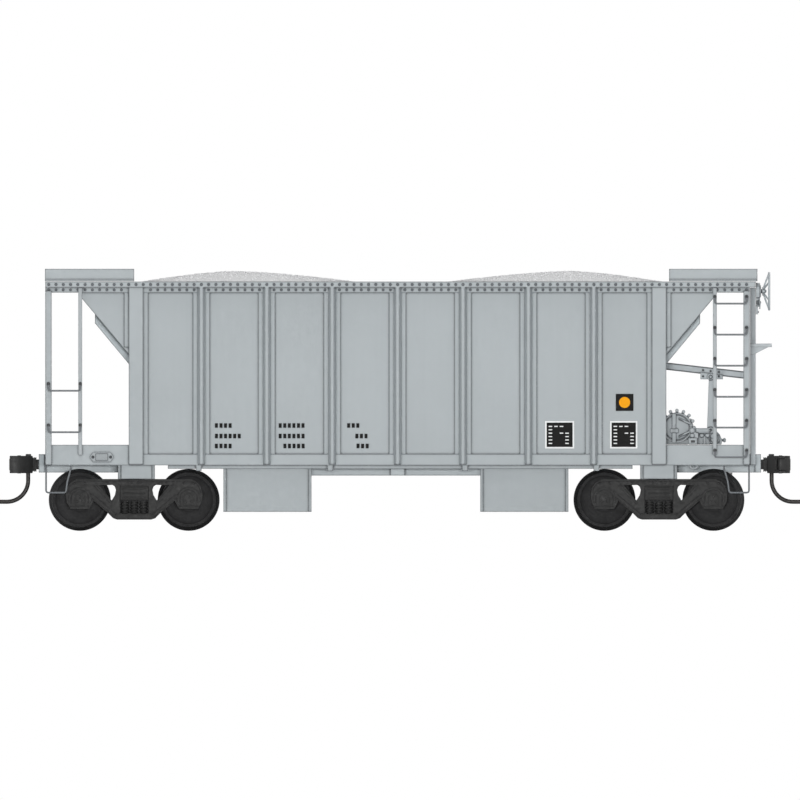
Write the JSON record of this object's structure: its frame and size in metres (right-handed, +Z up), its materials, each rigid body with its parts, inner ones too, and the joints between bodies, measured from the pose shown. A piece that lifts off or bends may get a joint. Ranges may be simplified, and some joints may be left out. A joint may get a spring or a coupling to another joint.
{
  "type": "model railway hopper car",
  "caption": "Two-bay open-top ballast hopper car for a model railway, with swivelling trucks, rolling wheelsets, knuckle couplers, a hand brake wheel and a lift-out load.",
  "frame": {"origin": "midway between the two coupler pivots, on the plane the wheel flanges stand on", "axes": "+X along the car towards the hand brake end, +Y to the far side, +Z up"},
  "size_m": [0.138, 0.036, 0.0448],
  "materials": {
    "grey_plastic": "light grey painted moulding",
    "black_plastic": "slippery black engineering plastic",
    "ballast_stone": "rough crushed-stone texture",
    "bright_steel": "turned steel",
    "blackened_metal": "chemically blackened turned metal",
    "bronze": "blackened spring bronze wire"
  },
  "bodies": {
    "car": {"air_reservoir": "grey_plastic", "ballast_weight": "bright_steel", "brake_cylinder": "grey_plastic", "brake_housing": "grey_plastic", "brake_lever": "grey_plastic", "brake_mast": "grey_plastic", "brake_step": "grey_plastic", "card_holder_far": "grey_plastic", "card_holder_near": "grey_plastic", "chute_a": "grey_plastic", "chute_b": "grey_plastic", "control_valve": "grey_plastic", "coupler_lid_a": "black_plastic", "coupler_lid_b": "black_plastic", "end_ladder_a": "grey_plastic", "end_ladder_b": "grey_plastic", "hopper_body": "grey_plastic", "lever_beam": "grey_plastic", "lid_screw_a": "bright_steel", "lid_screw_b": "bright_steel", "side_grabs_a_far": "grey_plastic", "side_grabs_a_near": "grey_plastic", "side_ladder_b_far": "grey_plastic", "side_ladder_b_near": "grey_plastic", "spill_board_a": "grey_plastic", "spill_board_b": "grey_plastic", "stirrup_step_a_far": "grey_plastic", "stirrup_step_a_near": "grey_plastic", "stirrup_step_b_far": "grey_plastic", "stirrup_step_b_near": "grey_plastic", "truck_screw_a": "bright_steel", "truck_screw_b": "bright_steel", "underframe": "grey_plastic"},
    "load": {"load_insert": "ballast_stone"},
    "hand_wheel": {"brake_wheel": "grey_plastic"},
    "truck_a": {"truck_bolster_a": "black_plastic", "sideframe_a_far": "black_plastic", "sideframe_a_near": "black_plastic"},
    "wheelset_a_outer": {"axle_a_outer": "bright_steel", "wheel_a_outer_far": "blackened_metal", "wheel_a_outer_near": "blackened_metal"},
    "wheelset_a_inner": {"axle_a_inner": "bright_steel", "wheel_a_inner_far": "blackened_metal", "wheel_a_inner_near": "blackened_metal"},
    "coupler_shank_a": {"coupler_a": "black_plastic", "trip_pin_a": "bronze"},
    "coupler_knuckle_a": {"knuckle_a": "black_plastic"},
    "truck_b": {"truck_bolster_b": "black_plastic", "sideframe_b_far": "black_plastic", "sideframe_b_near": "black_plastic"},
    "wheelset_b_outer": {"axle_b_outer": "bright_steel", "wheel_b_outer_far": "blackened_metal", "wheel_b_outer_near": "blackened_metal"},
    "wheelset_b_inner": {"axle_b_inner": "bright_steel", "wheel_b_inner_far": "blackened_metal", "wheel_b_inner_near": "blackened_metal"},
    "coupler_shank_b": {"coupler_b": "black_plastic", "trip_pin_b": "bronze"},
    "coupler_knuckle_b": {"knuckle_b": "black_plastic"}
  },
  "joints": [
    {"name": "load_lift", "type": "slide", "parent": "car", "child": "load", "axis": [0, 0, 1], "range_m": [0, 0.03]},
    {"name": "hand_brake_turn", "type": "hinge", "parent": "car", "child": "hand_wheel", "pos_m": [0.0608, -0.007, 0.04095], "axis": [1, 0, 0], "continuous": true},
    {"name": "truck_a_swivel", "type": "hinge", "parent": "car", "child": "truck_a", "pos_m": [-0.0454, 0, 0.0082], "axis": [0, 0, 1], "range_deg": [-10, 10]},
    {"name": "wheelset_a_outer_roll", "type": "hinge", "parent": "truck_a", "child": "wheelset_a_outer", "pos_m": [-0.0547, 0, 0.0053], "axis": [0, 1, 0], "continuous": true},
    {"name": "wheelset_a_inner_roll", "type": "hinge", "parent": "truck_a", "child": "wheelset_a_inner", "pos_m": [-0.0361, 0, 0.0053], "axis": [0, 1, 0], "continuous": true},
    {"name": "coupler_a_swing", "type": "hinge", "parent": "car", "child": "coupler_shank_a", "pos_m": [-0.0556, 0, 0.01134], "axis": [0, 0, 1], "range_deg": [-12, 12]},
    {"name": "knuckle_a_open", "type": "hinge", "parent": "coupler_shank_a", "child": "coupler_knuckle_a", "pos_m": [-0.06505, 0.00155, 0.01134], "axis": [0, 0, -1], "range_deg": [0, 35]},
    {"name": "truck_b_swivel", "type": "hinge", "parent": "car", "child": "truck_b", "pos_m": [0.04427, 0, 0.0082], "axis": [0, 0, 1], "range_deg": [-10, 10]},
    {"name": "wheelset_b_outer_roll", "type": "hinge", "parent": "truck_b", "child": "wheelset_b_outer", "pos_m": [0.05357, 0, 0.0053], "axis": [0, 1, 0], "continuous": true},
    {"name": "wheelset_b_inner_roll", "type": "hinge", "parent": "truck_b", "child": "wheelset_b_inner", "pos_m": [0.03497, 0, 0.0053], "axis": [0, 1, 0], "continuous": true},
    {"name": "coupler_b_swing", "type": "hinge", "parent": "car", "child": "coupler_shank_b", "pos_m": [0.0556, 0, 0.01134], "axis": [0, 0, 1], "range_deg": [-12, 12]},
    {"name": "knuckle_b_open", "type": "hinge", "parent": "coupler_shank_b", "child": "coupler_knuckle_b", "pos_m": [0.06505, -0.00155, 0.01134], "axis": [0, 0, -1], "range_deg": [0, 35]}
  ]
}
